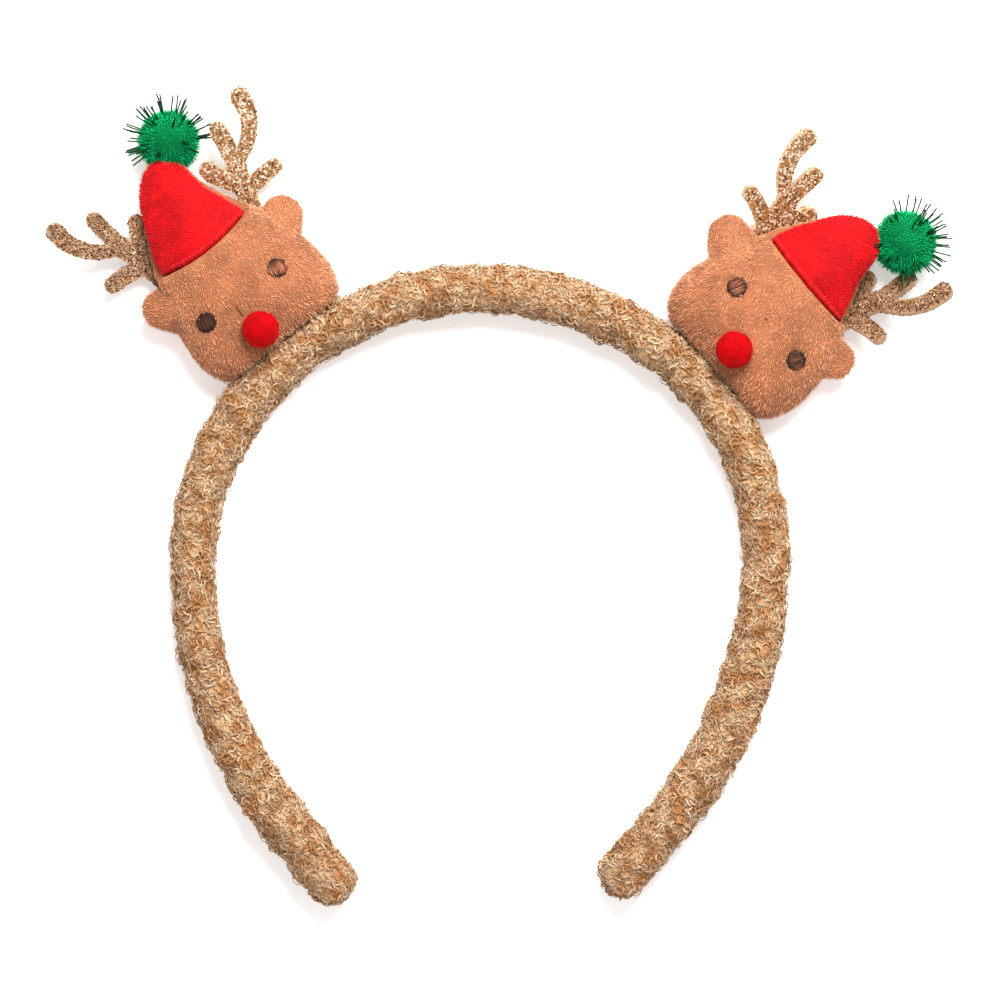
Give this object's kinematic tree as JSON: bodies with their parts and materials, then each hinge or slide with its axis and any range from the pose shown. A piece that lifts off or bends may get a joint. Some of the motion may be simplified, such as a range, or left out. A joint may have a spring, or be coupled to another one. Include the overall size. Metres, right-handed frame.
{
  "type": "reindeer headband",
  "caption": "Fleece-covered headband lying on its back, with stuffed reindeer heads, glitter antlers, red hats and green pompoms.",
  "frame": {"origin": "on the band's flat back at the middle of its crown, where the back meets the surface it lies on", "axes": "+Z out of the band's front, towards the viewer; +Y from the band's open ends to its crown; +X to the right as the front is seen"},
  "size_m": [0.2174, 0.1965, 0.0251],
  "materials": {
    "band": "matte",
    "plush": "matte",
    "hat": "matte",
    "pompom": "matte",
    "nose": "matte",
    "eye": "satin",
    "antler": "satin"
  },
  "bodies": {
    "root": {"band": "band", "left_head": "plush", "left_hat": "hat", "left_pompom": "pompom", "left_nose": "nose", "left_eye_outer": "eye", "left_eye_inner": "eye", "left_ear_outer": "plush", "left_ear_inner": "plush", "left_antler_outer": "antler", "left_antler_inner": "antler", "right_head": "plush", "right_hat": "hat", "right_pompom": "pompom", "right_nose": "nose", "right_eye_outer": "eye", "right_eye_inner": "eye", "right_ear_outer": "plush", "right_ear_inner": "plush", "right_antler_outer": "antler", "right_antler_inner": "antler"}
  },
  "joints": []
}
